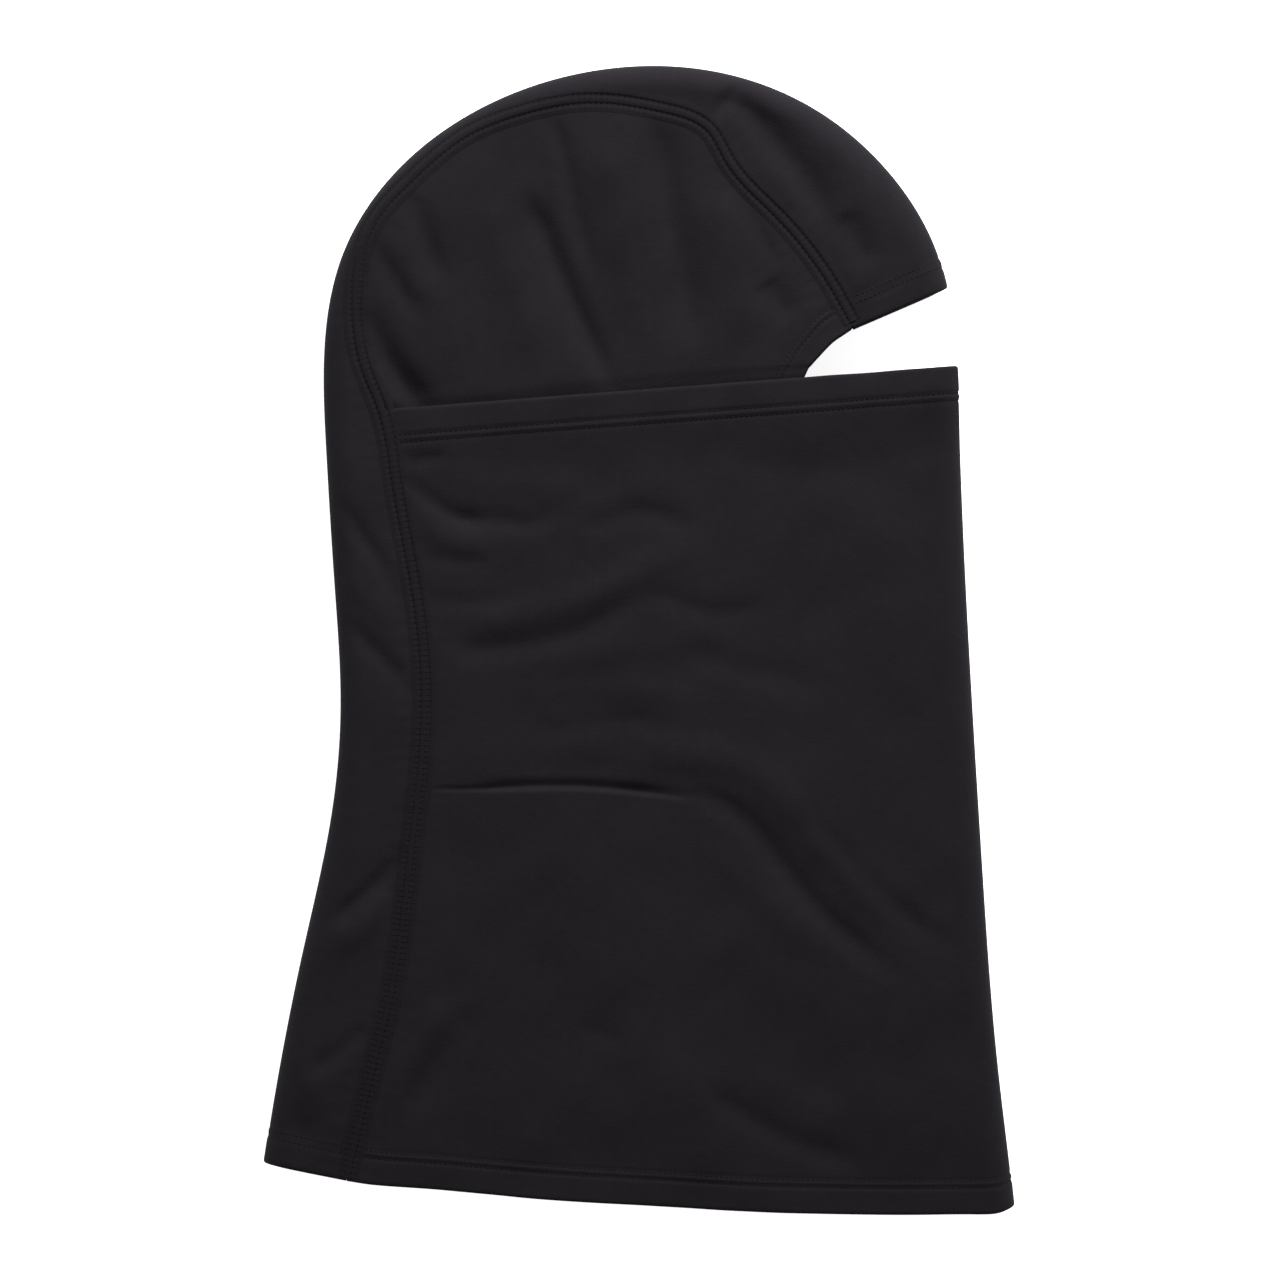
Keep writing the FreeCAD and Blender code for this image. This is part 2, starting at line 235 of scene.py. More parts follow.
def crease(xy, path, height, width):
    """A ridge or, with a height below 0, a valley along a path, fading at its ends.

    width is its half width, or one for the path's left side and one for its right.
    """
    left, right = (width, width) if np.isscalar(width) else width
    line = smooth(path, 24)
    rise = np.zeros(len(xy))
    fades_in, fades_out = 0.18, 0.3     # shares of its length
    reach = 3 * max(left, right)
    close = ((xy > line.min(0) - reach) & (xy < line.max(0) + reach)).all(1)
    gap, way = nearest(xy[close], line)
    share = way / np.linalg.norm(np.diff(line, axis=0), axis=1).sum()
    fade = ease(share / fades_in) * ease((1 - share) / fades_out)
    rise[close] = height * fade * np.exp(-((gap / np.where(gap > 0, left, right)) ** 2))
    return rise


def waves(xy, length, seed):
    """Gentle uneven swells of about the given wavelength, between about -1 and 1."""
    draw = np.random.default_rng(seed)
    swells = 9
    turns = draw.uniform(0, 2 * math.pi, swells)
    shifts = draw.uniform(0, 2 * math.pi, swells)
    sizes = draw.uniform(0.7, 1.5, swells)
    total = 0
    for turn, shift, size in zip(turns, shifts, sizes):
        along = xy[:, 0] * math.cos(turn) + xy[:, 1] * math.sin(turn)
        total = total + np.sin(along * 2 * math.pi / (length * size) + shift)
    return total / 4.0


def upper_side(xy, creases=(), depth=0.0):
    """Height of the upper leaf's outside, or of a layer some depth inside it."""
    fold = -nearest(xy, fold_line)[0]
    inset = np.clip((fold - depth) / (fold_radius - depth), 0, 1)
    height = middle + (loft - depth) * np.sqrt(1 - (1 - inset) ** 2)
    settled = ease((fold - depth) / flat_from)
    height -= sag * ease((fold - flat_from) / sag_reach) * settled
    seam, run = nearest(xy, seam_line)
    free = 1 - np.exp(-((seam / seam_hold) ** 2))
    height -= seam_dip * (1 - free) * settled
    uneven = 2 * np.sin(run / 9.1) + 1.7 * np.sin(run / 23)
    pucker = np.sin(run * 2 * math.pi / pucker_pitch + uneven)
    beside = np.exp(-(((np.abs(seam) - seam_hold) / pucker_width) ** 2))
    height += pucker_rise * pucker * beside * settled
    for path, rise, width in creases:
        height += crease_gain * crease(xy, path, rise, width) * free * settled
    height += (0.6 * waves(xy, 60, 3) + 0.24 * waves(xy, 22, 4)) * free * settled
    return height


def lower_side(xy, creases=(), depth=0.0):
    """Height of the lower leaf's outside, which lies pressed on the surface."""
    fold = -nearest(xy, fold_line)[0]
    inset = np.clip((fold - depth) / (fold_radius - depth), 0, 1)
    height = middle - (loft - depth) * np.sqrt(1 - (1 - inset) ** 2)
    settled = ease((fold - depth) / flat_from)
    seam = nearest(xy, seam_line)[0]
    height += pressed_seam * np.exp(-((seam / seam_hold) ** 2)) * settled
    for path, rise, width in creases:
        height += pressed_crease * np.abs(crease(xy, path, rise, width)) * settled
    return height + 0.12 * (1 + waves(xy, 40, 5)) * settled


def toward_fold(near, fold, columns):
    """Rows of places from a seam to a fold, closer together where the cloth turns."""
    across = np.linalg.norm(near - fold, axis=1)
    quarter = fold_radius * math.pi / 2
    bent = np.clip(across / fold_radius, 0, 1)
    total = np.where(
        across < fold_radius,
        fold_radius * np.arccos(1 - bent),
        quarter + across - fold_radius,
    )
    length = total[:, None] * np.linspace(1, 0, columns) ** 1.15
    inward = fold_radius * (1 - np.cos(np.minimum(length, quarter) / fold_radius))
    inward += np.maximum(length - quarter, 0)
    return fold[:, None] + (near - fold)[:, None] * (inward / across[:, None])[..., None]


def folded_over(xy, creases, raised=0.0):
    """The cloth from the right seam, round a fold, to the left seam."""
    flat = xy.reshape(-1, 2)
    upper = np.dstack([xy, upper_side(flat, creases, -raised).reshape(xy.shape[:2])])
    lower = np.dstack([xy, lower_side(flat, creases).reshape(xy.shape[:2])])
    upper[:, -1, 2] = middle
    return np.concatenate([upper, lower[:, -2::-1]], axis=1)


def outward(grid):
    """The direction out of the garment at each point of a grid."""
    normal = np.cross(np.gradient(grid, axis=1), np.gradient(grid, axis=0))
    normal /= np.linalg.norm(normal, axis=2, keepdims=True) + 1e-12
    facing = (normal[..., 2] * (grid[..., 2] - middle)).sum()
    return normal if facing > 0 else -normal


def from_edge(grid):
    """Distance of every point from row 0, down its own column."""
    step = np.linalg.norm(np.diff(grid, axis=0), axis=2)
    return np.concatenate([np.zeros((1, grid.shape[1])), np.cumsum(step, axis=0)])


hem_rise, ridge_rise, needle_pull = 0.26, 0.34, 0.24
ridge_width, needle_width = 0.75, 0.55
hem_fades_at_seam = 4.5


def pressed_hem(grid, rows):
    """A hem along row 0: a band two cloths thick, and a ridge between its two rows of
    stitches, which are pulled in."""
    far = from_edge(grid)
    band = hem_rise * (1 - ease((far - rows[0] + 1.2) / 1.4))
    band += ridge_rise * np.exp(-(((far - sum(rows) / 2) / ridge_width) ** 2))
    for row in rows:
        band -= needle_pull * np.exp(-(((far - row) / needle_width) ** 2))
    away = np.full(far.shape, np.inf)
    close = far < rows[1] + 3
    away[close] = nearest(grid[close][:, :2], seam_line)[0]
    band *= 1 - 0.85 * np.exp(-((away / hem_fades_at_seam) ** 2))
    return grid + outward(grid) * band[..., None]


def turned_edge(grid, depth):
    """The cloth going round the edge at row 0, and back inside as deep as the hem."""
    normal = outward(grid)
    out = grid[0] - grid[1]
    out -= (out * normal[0]).sum(1, keepdims=True) * normal[0]
    out /= np.linalg.norm(out, axis=1, keepdims=True)
    turns = [math.radians(turn) for turn in range(150, 0, -30)]
    edge = [grid[0] + lip * (out * math.sin(a) - normal[0] * (1 - math.cos(a))) for a in turns]
    inside = int((from_edge(grid).mean(1) < depth).sum())
    back = grid[:inside] - 2 * lip * normal[:inside]
    return np.concatenate([back[::-1], np.array(edge), grid])


def cloth_piece(name, grid, finish, thickness=cloth_thickness):
    """A closed sheet of cloth with its outside on the grid."""
    inside = grid - outward(grid) * thickness
    rows, columns = grid.shape[:2]
    count = rows * columns
    points = np.concatenate([grid.reshape(-1, 3), inside.reshape(-1, 3)]) * MM
    index = np.arange(count).reshape(rows, columns)
    corners = [index[:-1, :-1], index[1:, :-1], index[1:, 1:], index[:-1, 1:]]
    face = np.stack(corners, axis=-1).reshape(-1, 4)
    rim = np.concatenate([index[0, :-1], index[:-1, -1], index[-1, :0:-1], index[:0:-1, 0]])
    ahead = np.roll(rim, -1)
    sides = np.stack([rim, ahead, ahead + count, rim + count], axis=1)
    faces = np.concatenate([face, face[:, ::-1] + count, sides])
    mesh = bpy.data.meshes.new(name)
    mesh.from_pydata(points.tolist(), [], faces.tolist())
    shaped = bmesh.new()
    shaped.from_mesh(mesh)
    bmesh.ops.recalc_face_normals(shaped, faces=shaped.faces)
    shaped.to_mesh(mesh)
    shaped.free()
    mesh.shade_smooth()
    mesh.set_sharp_from_angle(angle=math.radians(65))
    mesh.materials.append(finish)
    piece = bpy.data.objects.new(name, mesh)
    bpy.context.scene.collection.objects.link(piece)
    return piece


class Value:
    """An output of a material's node.  Sums and products of values add Math nodes."""

    def __init__(self, tree, socket=None):
        self.tree, self.socket = tree, socket

    def node(self, kind, settings=None, sockets=None, output=0):
        """Adds a node, with its settings first and then its sockets' values or links."""
        made = self.tree.nodes.new(kind)
        for name, value in (settings or {}).items():
            setattr(made, name, value)
        for name, value in (sockets or {}).items():
            if isinstance(value, Value):
                self.tree.links.new(value.socket, made.inputs[name])
            else:
                made.inputs[name].default_value = value
        return Value(self.tree, made.outputs[output])

    def maths(self, operation, first, second):
        return self.node("ShaderNodeMath", {"operation": operation}, {0: first, 1: second})

    def __add__(self, other):
        return self.maths("ADD", self, other)

    def __radd__(self, other):
        return self.maths("ADD", other, self)

    def __mul__(self, other):
        return self.maths("MULTIPLY", self, other)

    def __rmul__(self, other):
        return self.maths("MULTIPLY", other, self)


def blank_finish(name):
    """A new material: its start value and its shader node."""
    material = bpy.data.materials.new(name)
    material.use_nodes = True
    shader = material.node_tree.nodes["Principled BSDF"]
    return material, Value(material.node_tree), shader


def colour_mix(start, share, first, second):
    """The first colour going over to the second as the share rises."""
    return start.node(
        "ShaderNodeMix",
        {"data_type": "RGBA"},
        {"Factor": share, 6: (*first, 1), 7: (*second, 1)},
        output=2,
    )


def brushed_jersey(name, shade_of):
    """Black brushed stretch jersey: fine wales under a short, slightly cool nap."""
    material, start, shader = blank_finish(name)
    place = start.node("ShaderNodeTexCoord", output=3)
    mottle = start.node(
        "ShaderNodeTexNoise", sockets={"Vector": place, "Scale": 260.0, "Detail": 3.0}
    )
    patch = start.node("ShaderNodeTexNoise", sockets={"Vector": place, "Scale": 24.0, "Detail": 2.0})
    nap = start.node("ShaderNodeTexNoise", sockets={"Vector": place, "Scale": 1500.0, "Detail": 4.0})
    wales = start.node(
        "ShaderNodeTexWave",
        {"wave_type": "BANDS", "bands_direction": "X", "wave_profile": "SIN"},
        {"Vector": place, "Scale": 330.0, "Distortion": 1.6, "Detail": 1.0, "Detail Scale": 0.6},
        output=1,
    )
    shade = mottle * 0.45 + patch * 0.35 + nap * 0.2
    dark = [shade_of * part for part in (0.0079, 0.0067, 0.0083)]
    light = [shade_of * part for part in (0.0137, 0.0118, 0.0143)]
    colour = colour_mix(start, shade, dark, light)
    relief = nap * 0.7 + wales * 0.22 + mottle * 0.5
    bump = start.node(
        "ShaderNodeBump", sockets={"Strength": 0.55, "Distance": 0.00035, "Height": relief}
    )
    tree = material.node_tree
    tree.links.new(colour.socket, shader.inputs["Base Color"])
    tree.links.new(bump.socket, shader.inputs["Normal"])
    shader.inputs["Roughness"].default_value = 0.88
    shader.inputs["Specular IOR Level"].default_value = 0.03
    shader.inputs["Sheen Weight"].default_value = 0.02
    shader.inputs["Sheen Roughness"].default_value = 0.5
    shader.inputs["Sheen Tint"].default_value = (0.80, 0.88, 1.0, 1)
    return material


jersey = brushed_jersey("brushed_jersey", 1.0)

nape_creases = [
    ([(-118, 55), (-113, 51), (-104, 39), (-96, 28), (-88, 7)], -1.0, 3.6),
    ([(-113, 9), (-109, 5), (-99, -4), (-89, -15), (-84, -24)], -0.9, 3.5),
    ([(-112, 26), (-104, 18), (-94, 4)], 0.5, 5),
    ([(-84, -74), (-88, -80), (-96, -89), (-106, -98), (-119, -109)], -1.4, 3.4),
    ([(-92, -94), (-103, -107), (-116, -117)], 0.7, 5),
    ([(-101, -143), (-105, -147), (-114, -155), (-126, -163)], -0.9, 3.5),
    ([(36.5, 212), (34.9, 207), (31.5, 201), (28.5, 195), (26, 189)], -1.5, 2.6),
    ([(30, 210), (38, 200), (46.6, 191), (56, 179), (64.2, 167.7), (70, 153), (73, 144)], -1.9, 6.0),
    ([(76, 160), (79, 152), (83, 145), (88, 138)], -0.9, 5.0),
    ([(-134, -158), (-129, -174), (-127, -190)], -0.8, 5.5),
    ([(62, 192), (76, 176), (88, 158), (98, 146)], 0.6, 6),
]
spine = smooth(
    [
        (-109.5, -200.7, -140.2, -194.3),
        (-99.4, -158.5, -132.0, -152.0),
        (-92.8, -131.0, -128.0, -126.0),
        (-85.1, -76.0, -117.5, -76.0),
        (-80.6, -30.0, -112.1, -30.0),
        (-83.6, 16.0, -114.0, 16.0),
        (-91.5, 60.0, -116.8, 60.0),
        (-96.6, 86.0, -117.8, 88.0),
        (-102.4, 100.5, -118.0, 104.0),
        (-106.3, 125.0, -116.8, 128.0),
        (-99.2, 157.0, -104.5, 160.0),
        (-86.0, 171.8, -91.5, 177.0),
        (-65.6, 188.6, -69.5, 195.0),
        (-45.4, 196.9, -46.5, 207.5),
        (-19.0, 201.6, -17.0, 213.5),
        (8.2, 198.2, 16.0, 213.8),
        (26.0, 190.6, 42.0, 208.4),
        (32.6, 179.6, 58.0, 201.2),
        (50.3, 159.8, 84.0, 182.4),
        (70.5, 134.6, 106.0, 156.0),
        (79.5, 117.2, 115.6, 132.6),
    ],
    400,
)
on_fold = to_nearest(spine[:, 2:], fold_line)
neck_hem_rows = (8.9, 11.7)  # stitches, from the hem's edge
neck_hem_depth = 11.5
face_hem_rows = (7.4, 10.0)
face_hem_depth = 11.0
centre_columns = 34
centre_xy = toward_fold(spine[:, :2], on_fold, centre_columns)
centre_grid = folded_over(centre_xy, nape_creases)
centre_grid = pressed_hem(centre_grid, neck_hem_rows)
centre_grid = pressed_hem(centre_grid[::-1], face_hem_rows)[::-1]
centre_cloth = turned_edge(turned_edge(centre_grid, neck_hem_depth)[::-1], face_hem_depth)
centre_panel = cloth_piece("centre_panel_cloth", centre_cloth, jersey)
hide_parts("centre_panel", "neck_hem_back", "brow_hem")
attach(centre_panel, "hood")


# ---- Mask panel -----------------------------------------------------------------
# The outer layer over the chin and neck: one piece of the same jersey from seam to seam
# round the front.  Its lower edge is the neck hem, and its hemmed upper edge is free, so
# it can be pulled down off the nose.
mask_back = (-96.6, 86.0)   # the free edge, where it goes into the seam
mask_front = (119.1, 102.4)
neck_seam_end = -200.7      # level of the neck hem at the seam, and at the front fold
neck_front_end = -210.2
neck_sweep = smooth(
    [
        (-112.0, -200.3),
        (-101.3, -202.0),
        (-87.0, -203.2),
        (-65.6, -204.9),
        (-35.6, -207.7),
        (9.4, -210.4),
        (39.4, -212.2),
        (70.0, -213.1),
        (99.4, -213.4),
        (126.0, -213.1),
        (135.5, -212.3),
        (140.5, -210.2),
    ],
    200,
)
sweep_reach = 60.0          # how far up the cloth follows the hem's curve
mask_hem_rows = (9.0, 11.9)
mask_hem_depth = 13.0
dart_path = [(-82.0, -55.4), (-66.0, -55.6), (-52.0, -55.0), (-20.0, -55.6), (18.0, -57.4)]

mask_creases = [
    ([(-91, 61), (-85, 57), (-76, 50), (-67, 45), (-54, 44.4)], -1.1, (3.0, 2.0)),
    ([(-72, 47), (-64, 45), (-54, 45), (-40, 43.6), (-31, 49), (-24, 52)], -0.9, 3.6),
    ([(-24, 40), (-11, 45), (1, 48), (12, 45), (23, 42)], -0.8, 4),
    ([(-78, 60), (-62, 58), (-40, 58), (-12, 58)], 0.5, 6),
    ([(-84, 48), (-76, 40), (-66, 36), (-54, 35)], 0.8, 5),
    ([(-92, 66), (-85, 66.7), (-77, 67.8), (-70, 68)], -0.9, 1.8),
    ([(-84, 31), (-77, 30.3), (-62, 29.3), (-52, 30)], -0.5, 3),
    ([(-86, 14), (-80, 14.5), (-66, 14), (-54, 14.5), (-44, 16)], -0.5, 2.6),
    ([(-70, 6), (-40, 10), (-12, 19), (8, 29), (30, 40)], 0.9, 5.5),
    ([(-76, -3), (-54, -3.3), (-34.6, -0.3), (-18.8, 4.6), (-5, 13.5), (8.8, 16.5)], -1.0, 4.2),
    ([(0, 16), (12, 15), (24.6, 10.5), (40, 11.5), (52, 14)], -0.6, 3.6),
    ([(-40, -12), (-10, -4), (20, -1), (44, 4)], 0.5, 6),
    ([(10, -3), (18.75, -4), (34, -10), (60, -16), (74, -24)], -0.7, 5.5),
    ([(-50, -22), (-20, -18), (10, -20), (34, -28)], 0.4, 5),
    ([(-44, -33), (-36, -33.8), (-14, -31), (1, -30), (18, -36)], -0.5, 4),
    ([(-90, -55.4), (-78, -55.6), (-60, -55.6), (-44, -55.4)], -0.5, (1.2, 0.8)),
    ([(-64, -55.4), (-44, -54.8), (-20, -54.8), (0, -56.6), (24, -59.5)], -1.25, (2.6, 1.0)),
    ([(-60, -49), (-25, -48), (4, -49)], -0.4, 5),
    ([(-8, -44), (20, -43), (40, -48), (60, -66), (84, -92), (108, -118)], 1.1, 7),
    ([(14, -56), (30, -61), (42, -70), (56, -88), (80, -113), (104, -131)], -1.4, 4.4),
    ([(20, -72), (36, -86), (56, -106), (76, -122)], 0.5, 6),
    ([(60, -62), (78, -82), (98, -102), (122, -119)], -0.9, 4.2),
    ([(24, -166), (40, -178), (60, -188), (90, -198)], -1.0, 4.5),
    ([(40, -160), (60, -172), (84, -182)], 0.5, 6),
    ([(-22, -144), (-12, -148), (-2, -152)], -0.4, 4),
    ([(-72, -132), (-82, -150), (-91, -168), (-98, -184)], 0.8, 5),
    ([(-62, -136), (-72, -153), (-81, -168), (-87, -180)], -0.9, 4.5),
    ([(84, 20), (96, -10), (106, -40)], 0.4, 9),
    ([(20, 78), (44, 66), (70, 62), (98, 66)], -0.5, 7),
]


def run_at(line, level):
    """How far along a rising or falling line it crosses a level."""
    y = line[:, 1]
    cross = int(np.nonzero(np.diff(np.sign(y - level)))[0][0])
    share = (level - y[cross]) / (y[cross + 1] - y[cross])
    step = np.linalg.norm(np.diff(line, axis=0), axis=1)
    return step[:cross].sum() + share * step[cross]


seam_low, seam_high = run_at(seam_line, neck_seam_end), run_at(seam_line, mask_back[1] - lip)
front_line = fold_line[::-1]
front_low = run_at(front_line, neck_front_end)
front_high = run_at(front_line, mask_front[1] - lip)
tall = seam_high - seam_low
dart_run = run_at(seam_line, dart_path[0][1]) - seam_low
near_hem, near_dart, near_edge = 14.0, 6.0, 15.0    # where the rows lie closer
wide_step = 2.2
mask_rows = np.unique(
    np.concatenate(
        [
            np.arange(0, near_hem, 0.7),
            np.arange(near_hem, dart_run - near_dart, wide_step),
            np.arange(dart_run - near_dart, dart_run + near_dart, 0.6),
            np.arange(dart_run + near_dart, tall - near_edge, wide_step),
            np.linspace(tall - near_edge, tall, 22),
        ]
    )
)
mask_columns = 97
share_up = mask_rows / tall
mask_xy = toward_fold(
    line_at(seam_line, seam_low + share_up * tall),
    line_at(front_line, front_low + share_up * (front_high - front_low)),
    mask_columns,
)
straight = np.interp(mask_xy[0, :, 0], *mask_xy[0, [0, -1]].T)
bow = np.interp(mask_xy[0, :, 0], neck_sweep[:, 0], neck_sweep[:, 1]) - straight
mask_xy[..., 1] += bow * (1 - ease(mask_rows / sweep_reach))[:, None]


def above_mask(xy):
    """How far each place is above the mask's free edge, and how far to the front."""
    along = (xy[:, 0] - mask_back[0]) / (mask_front[0] - mask_back[0])
    return xy[:, 1] - mask_back[1] - along * (mask_front[1] - mask_back[1]), along


edge_lift = 1.7
lift_below, lift_climb = 34.0, 28.0     # it starts this far below the edge, and is full
lift_from_seam = 18.0                   # this far up, and this far from the seam


def mask_lift(xy):
    """The mask's free edge lies on the hood, so it is a little higher than the rest."""
    away = ease(np.abs(nearest(xy, seam_line)[0]) / lift_from_seam)
    return edge_lift * ease((above_mask(xy)[0] + lift_below) / lift_climb) * away


mask_grid = folded_over(mask_xy, mask_creases, mask_lift(mask_xy.reshape(-1, 2)))
mask_grid = pressed_hem(mask_grid, neck_hem_rows)
mask_grid = pressed_hem(mask_grid[::-1], mask_hem_rows)[::-1]
mask_cloth = turned_edge(turned_edge(mask_grid, neck_hem_depth)[::-1], mask_hem_depth)


def follow_mask(piece):
    """Bakes the piece's placement into its mesh."""
    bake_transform(piece)


mask_panel = cloth_piece("mask_panel_cloth", mask_cloth, jersey)
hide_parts("mask_panel", "mask_hem", "neck_hem_front")
follow_mask(mask_panel)


# ---- Side panels ----------------------------------------------------------------
# One piece of jersey each side, from the crown seam down over the cheek and forward
# under the mask to the chin.  The edge of the face opening is hemmed, and the lower edge
# is left raw inside the mask.
crown_creases = [
    (
        [(-43, 168), (-39.9, 161.8), (-34, 147), (-28, 132.5)]
        + [(-20.8, 116.4), (-13.5, 100), (-9, 88)],
        -1.9,
        4.2,
    ),
    ([(-35, 202), (-32.5, 194), (-28, 179.4), (-25, 164.7), (-20.8, 147), (-17, 132)], -1.0, 3.4),
    ([(4, 202), (6, 192), (8.5, 176.4), (13, 153), (17.3, 129.5), (20, 106)], -1.9, 6.5),
    ([(-14, 190), (-10, 172), (-7, 150), (-2, 126), (4, 104)], 0.9, 7),
    ([(-58, 168), (-50, 144), (-42, 122), (-34, 102)], 0.8, 7),
    ([(28, 170), (33, 148), (38, 126), (40, 108)], 0.7, 7),
    ([(-87, 168), (-83.8, 162), (-80, 151), (-76, 139), (-74, 130)], -1.1, 3.4),
    ([(-103, 151), (-99.9, 147), (-93, 137), (-86.8, 126.6), (-82, 118)], -1.1, 3.4),
    ([(-92, 152), (-86, 138), (-78, 124)], 0.6, 5),
    ([(-108, 124), (-102.9, 117), (-97, 107), (-90, 97), (-83, 88), (-76, 80)], -3.4, (6, 5)),
    ([(46, 134), (51, 127), (58, 119)], -0.8, 5),
    ([(30, 184), (38, 168), (46, 150), (54, 136)], -0.8, 4),
]
ring = smooth(
    [
        (126.6, -92.0, 123.4, -30.0),
        (118.0, -90.0, 119.0, -28.6),
        (100.0, -84.0, 108.0, -25.5),
        (60.0, -70.0, 90.0, -17.0),
        (10.0, -55.0, 76.0, -5.0),
        (-40.0, -48.0, 64.0, 6.0),
        (-78.0, -47.0, 58.0, 16.0),
        (-80.9, -25.0, 55.0, 24.0),
        (-84.0, 20.0, 52.0, 36.0),
        (-93.4, 70.0, 50.3, 50.0),
        (-102.6, 101.0, 50.0, 62.0),
        (-106.3, 125.0, 50.6, 70.0),
        (-99.2, 157.0, 53.0, 77.0),
        (-86.0, 171.8, 54.6, 82.5),
        (-65.6, 188.6, 56.2, 87.5),
        (-45.4, 196.9, 57.8, 92.0),
        (-19.0, 201.6, 59.6, 96.0),
        (8.2, 198.2, 61.4, 100.2),
        (26.0, 190.6, 63.6, 103.6),
        (32.6, 179.6, 66.7, 107.1),
        (50.3, 159.8, 71.3, 111.9),
        (70.5, 134.6, 75.5, 114.9),
        (79.0, 119.4, 79.2, 117.3),
    ],
    330,
)
chin_from = 95.0            # the chin's cloth is drawn back in front of here, so that
chin_front = 116.2          # the mask clears its front fold as it's pulled down
chin_radius = 6.0
covered_depth = 2.8         # how far the mask presses the side panel in
tucked_depth = 1.2          # and how far where both go into the seam
seam_blend = 15.0


def under_mask(xy):
    """How far inside the outer surface the side panel lies, sinking under the mask."""
    above, along = above_mask(xy)
    ramp = 3.0 + 3.5 * ease(along / 0.5)
    covered = 1 - ease((above + 1.0) / ramp)
    seam = np.abs(nearest(xy, seam_line)[0])
    from_seam = ease(seam / seam_blend)
    tucked = tucked_depth * (1 - ease((above + 1.0) / 4.0))
    return tucked + (covered_depth * covered - tucked) * from_seam


def side_panel(upper):
    """The grid of a side panel, with the edge of the face opening at row 0."""
    share = np.linspace(0, 1, 84)[:, None, None] ** 1.5
    xy = ring[None, :, 2:] + (ring[:, :2] - ring[:, 2:])[None] * share
    flat = xy.reshape(-1, 2)
    deep = under_mask(flat)
    if upper:
        deep -= mask_lift(flat) * ease(deep / covered_depth)
    front = np.clip((flat[:, 0] - chin_from) / (ring[0, 0] - chin_from), 0, 1)
    flat = flat.copy()
    flat[:, 0] -= front * (ring[0, 0] - chin_front)
    turned = np.clip((chin_front - flat[:, 0]) / chin_radius, 0, 1)
    leaf = upper_side if upper else lower_side
    height = leaf(flat, crown_creases + mask_creases, deep)
    height = middle + (height - middle) * np.sqrt(1 - (1 - turned) ** 2)
    grid = np.dstack([flat.reshape(xy.shape), height.reshape(xy.shape[:2])])
    grid[:, 0, 2] = middle
    return grid


side_grids, hemmed_sides = {}, {}
for name, upper in (("right", True), ("left", False)):
    side_grids[name] = side_panel(upper)
    hemmed_sides[name] = pressed_hem(side_grids[name], face_hem_rows)
    side_cloth = turned_edge(hemmed_sides[name], face_hem_depth)
    side_piece = cloth_piece(name + "_side_cloth", side_cloth, jersey)
    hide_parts(name + "_side_panel", name + "_face_hem")
    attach(side_piece, "hood")


# ---- Seams ----------------------------------------------------------------------
# Flat seams that join the centre panel to the mask and side panels: the cloths' edges
# overlap under a narrow band, sewn with a cover stitch whose threads cross the band.
seam_half = 4.9
stitch_pitch = 2.1
seam_grooves = 1.7          # from the seam's middle to each row of needle holes
thread_radius = 0.22
stitch_arch = 0.10          # a stitch's middle above its ends, which are sunk as deep
hem_stitch_pitch, hem_stitch_length = 1.9, 1.35


def sewing_thread():
    """Polyester sewing thread, as dark as the jersey's deepest shade."""
    material, _, shader = blank_finish("sewing_thread")
    shader.inputs["Base Color"].default_value = (0.0076, 0.0065, 0.0081, 1)
    shader.inputs["Roughness"].default_value = 0.8
    shader.inputs["Specular IOR Level"].default_value = 0.05
    return material


thread = sewing_thread()


def thread_piece(name, starts, ends, normals):
    """Short arched stitches from starts to ends, lying on a surface with these normals."""
    axis = ends - starts
    axis /= np.linalg.norm(axis, axis=1, keepdims=True)
    across = np.cross(axis, normals)
    across /= np.linalg.norm(across, axis=1, keepdims=True)
    up = np.cross(across, axis)
    profile = ((0, 0.35), (0.14, 0.85), (0.5, 1), (0.86, 0.85), (1, 0.35))
    sides = 6
    corners = sides * len(profile)
    places = []
    for share, size in profile:
        centre = starts + (ends - starts) * share
        centre = centre + up * stitch_arch * (4 * share * (1 - share) - 1)
        for turn in range(sides):
            a = turn * 2 * math.pi / sides
            offset = thread_radius * size * (math.cos(a) * across + math.sin(a) * up)
            places.append(centre + offset)
    points = np.stack(places, axis=1)
    faces = []
    for low in range(0, corners - sides, sides):
        for i in range(sides):
            ahead = (i + 1) % sides
            faces.append([low + i, low + ahead, low + sides + ahead, low + sides + i])
    first = corners * np.arange(len(starts))[:, None, None]
    quads = (first + np.array(faces)[None]).reshape(-1, 4)
    ends_closed = [range(sides - 1, -1, -1), range(corners - sides, corners)]
    caps = first + np.array(ends_closed)[None]
    mesh = bpy.data.meshes.new(name)
    all_faces = quads.tolist() + caps.reshape(-1, sides).tolist()
    mesh.from_pydata((points.reshape(-1, 3) * MM).tolist(), [], all_faces)
    mesh.shade_smooth()
    mesh.materials.append(thread)
    piece = bpy.data.objects.new(name, mesh)
    bpy.context.scene.collection.objects.link(piece)
    return piece


def stitches(name, rows):
    """Running stitches along lines, each given as its points and the outward directions."""
    starts, ends, normals = [], [], []
    for line, facing in rows:
        run = np.append(0, np.cumsum(np.linalg.norm(np.diff(line, axis=0), axis=1)))
        at = np.arange(hem_stitch_pitch / 2, run[-1] - hem_stitch_pitch / 2, hem_stitch_pitch)
        half = hem_stitch_length / 2
        for shift, into in ((-half, starts), (half, ends)):
            into.append(np.stack([np.interp(at + shift, run, line[:, k]) for k in range(3)], 1))
        normals.append(np.stack([np.interp(at, run, facing[:, k]) for k in range(3)], 1))
    return thread_piece(name, *(np.concatenate(part) for part in (starts, ends, normals)))


